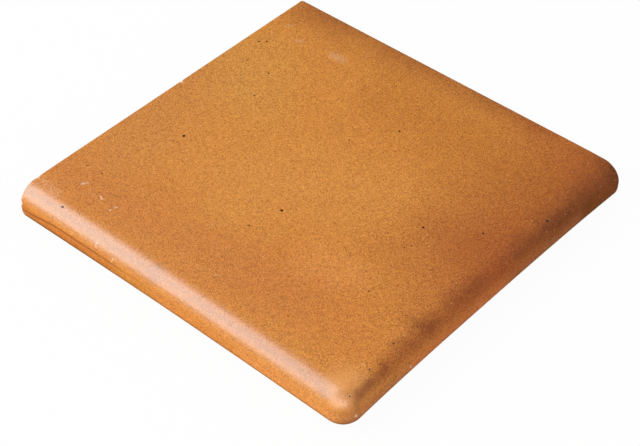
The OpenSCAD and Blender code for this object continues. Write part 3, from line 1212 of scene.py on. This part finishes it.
# studio: a soft light on the left, bright panels for the gleam along the front nosing and round the
# outer corner, a dark tent for the rest of the gloss, a white floor and an even room; in metres
studio = {
    "roomLight": 0.77,         # the room's level for everything the camera doesn't see directly
    "keyDirection": (-0.46, -0.66, 0.60),
    "keyDistance": 2.6,
    "keyWidth": 1.8,
    "keyHeight": 2.0,
    "keyRadiance": 3.5,
    "keyColour": (0.99, 1.0, 1.0),
    "gleamPlace": (-0.50, -0.94, 0.87),    # only the gloss sees this panel
    "gleamUp": (0.0, 0.711, 0.703),
    "gleamWidth": 2.20,
    "gleamHeight": 1.72,
    "gleamColour": (0.85, 0.94, 1.0),
    "gleamFade": (-0.95, 0.35, 10.5, 1.0),             # from x to x, from level to level
    "cornerEnds": ((-0.20, -1.58), (1.30, -0.84)),     # a lower panel facing the outer corner
    "cornerHigh": 0.85,
    "cornerFade": (-0.20, 1.30, 7.5, 6.5),
    "floorWhite": 0.80,
    "floorShown": 0.96,        # share of the floor's white that takes no shadow
    "floorReach": 6.0,
    "floorDrop": 0.0002,
    "tentNear": 2.5,           # the tent stands this far out in front and on the left
    "tentFar": 1.7,
    "tentHigh": 2.7,
    "tentGrey": 0.05,
    "tentFloor": (0.28, 0.14, 0.04),       # warm, as the tile colours the floor beside it
    "tentFloorUnder": 0.013,   # it reaches this far under the nosings' lower rounds
    "tentFloorRise": 0.0001,
    "cardEnds": (-2.4, 1.6),   # a dark card over the front nosing's back edge keeps both bright
    "cardHigh": 2.6,           # panels off the flat top
    "cardClear": 0.0004,
}


def standing(x0, y0, x1, y1, low, high):
    # corners of an upright panel between two places
    return [(x0, y0, low), (x1, y1, low), (x1, y1, high), (x0, y0, high)]


def lying(x0, y0, x1, y1, z):
    return [(x0, y0, z), (x1, y0, z), (x1, y1, z), (x0, y1, z)]


def addPlane(name, corners, material):
    mesh = bpy.data.meshes.new(name)
    mesh.from_pydata(corners, [], [(0, 1, 2, 3)])
    mesh.materials.append(material)
    plane = bpy.data.objects.new(name, mesh)
    bpy.context.scene.collection.objects.link(plane)
    return plane


def plainMaterial(name):
    material = bpy.data.materials.new(name)
    material.use_nodes = True
    return material, Sheet(material.node_tree)


def addFloor(setup):
    material, sheet = plainMaterial("floorWhite")
    byCamera = sheet.get("ShaderNodeLightPath", None, "Is Camera Ray")

    def mixed(share, first, second):
        return sheet.get("ShaderNodeMixShader", {0: share, 1: first, 2: second})
    matt = sheet.get("ShaderNodeBsdfDiffuse", {"Color": (setup["floorWhite"],) * 3 + (1,)})
    white = sheet.get("ShaderNodeEmission", {"Color": (1, 1, 1, 1), "Strength": 1.0})
    seen = mixed(byCamera, matt, mixed(setup["floorShown"], matt, white))
    # from below, the camera looks through the floor
    through = sheet.times(sheet.get("ShaderNodeNewGeometry", None, "Backfacing"), byCamera)
    clear = sheet.get("ShaderNodeBsdfTransparent")
    sheet.add("ShaderNodeOutputMaterial", {0: mixed(through, seen, clear)})
    reach = setup["floorReach"]
    addPlane("studioFloor", lying(-reach, -reach, reach, reach, -setup["floorDrop"]), material)


def addRoom(setup):
    # a camera, a gloss or a clear ray meets a white room, and all others a duller one
    world = bpy.data.worlds.new("studioRoom")
    world.use_nodes = True
    sheet = Sheet(world.node_tree)
    path = sheet.add("ShaderNodeLightPath").outputs
    seen = sheet.larger(path["Is Camera Ray"], path["Is Glossy Ray"])
    seen = sheet.larger(seen, path["Is Transmission Ray"])
    strength = sheet.range(seen, 0.0, 1.0, setup["roomLight"], 1.0, False)
    light = sheet.get("ShaderNodeBackground", {"Color": (1, 1, 1, 1), "Strength": strength})
    sheet.add("ShaderNodeOutputWorld", {0: light})
    bpy.context.scene.world = world


def addKey(setup):
    data = bpy.data.lights.new("keySoftbox", "AREA")
    data.shape = "RECTANGLE"
    data.size = setup["keyWidth"]
    data.size_y = setup["keyHeight"]
    data.color = setup["keyColour"]
    data.energy = setup["keyRadiance"] * math.pi * setup["keyWidth"] * setup["keyHeight"]
    light = bpy.data.objects.new("keySoftbox", data)
    bpy.context.scene.collection.objects.link(light)
    back = Vector(setup["keyDirection"]).normalized()
    light.matrix_world = back.to_track_quat("Z", "Y").to_matrix().to_4x4()
    light.matrix_world.translation = back * setup["keyDistance"]
    light.visible_camera = False
    light.visible_glossy = False


def addGlossOnly(name, corners, colour, fade=None):
    # a glowing or dark panel that nothing but the gloss sees; fade: from x to x, from level to level
    material, sheet = plainMaterial(name)
    strength = 1.0
    if fade:
        place = sheet.get("ShaderNodeTexCoord", None, "Object")
        strength = sheet.range(sheet.get("ShaderNodeSeparateXYZ", {0: place}), *fade)
    glow = sheet.get("ShaderNodeEmission", {"Color": (*colour, 1), "Strength": strength})
    sheet.add("ShaderNodeOutputMaterial", {0: glow})
    plane = addPlane(name, corners, material)
    plane.visible_camera = False
    plane.visible_diffuse = False
    plane.visible_transmission = False
    plane.visible_shadow = False


def addGleams(setup):
    place = Vector(setup["gleamPlace"])
    back = place.normalized()
    up = Vector(setup["gleamUp"])
    up = (up - back * up.dot(back)).normalized() * setup["gleamHeight"] / 2
    side = up.cross(back).normalized() * setup["gleamWidth"] / 2
    addGlossOnly("gleamPanel", [place - side - up, place + side - up, place + side + up, place - side + up],
                 setup["gleamColour"], setup["gleamFade"])
    # the card stands over the front nosing's back edge
    left, right = setup["cardEnds"]
    cardY = nosingR + mm - halfY
    addGlossOnly("shadeCard", standing(left, cardY, right, cardY, topZ + setup["cardClear"],
                                      setup["cardHigh"]), (setup["tentGrey"],) * 3)
    left, right = setup["cornerEnds"]
    addGlossOnly("cornerPanel", standing(*left, *right, 0, setup["cornerHigh"]), setup["gleamColour"],
                 setup["cornerFade"])


def addTent(setup):
    near, far, high = setup["tentNear"], setup["tentFar"], setup["tentHigh"]
    grey, warm = (setup["tentGrey"],) * 3, setup["tentFloor"]
    outX, outY, under = halfX + mm, halfY + mm, setup["tentFloorUnder"]
    floorZ = setup["tentFloorRise"]
    for name, corners, colour in (
            ("tentRight", standing(far, -near, far, far, 0, high), grey),
            ("tentBack", standing(far, far, -near, far, 0, high), grey),
            ("tentLeft", standing(-near, far, -near, -near, 0, high), grey),
            ("tentFront", standing(-near, -near, far, -near, 0, high), grey),
            ("tentTop", lying(-near, -near, far, far, high), grey),
            ("tentFloorRight", lying(halfX - under, -near, far, far, floorZ), warm),
            ("tentFloorLeft", lying(-near, -near, -outX, far, floorZ), warm),
            ("tentFloorFront", lying(-outX, -near, halfX - under, under - halfY, floorZ), warm),
            ("tentFloorBack", lying(-outX, outY, halfX - under, far, floorZ), warm)):
        addGlossOnly(name, corners, colour)


addFloor(studio)
addRoom(studio)
addKey(studio)
addGleams(studio)
addTent(studio)
bpy.context.scene.view_settings.view_transform = "Standard"
print("studio set up")

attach(tile, "root")
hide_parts("corner_tread")
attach(grains, "root")
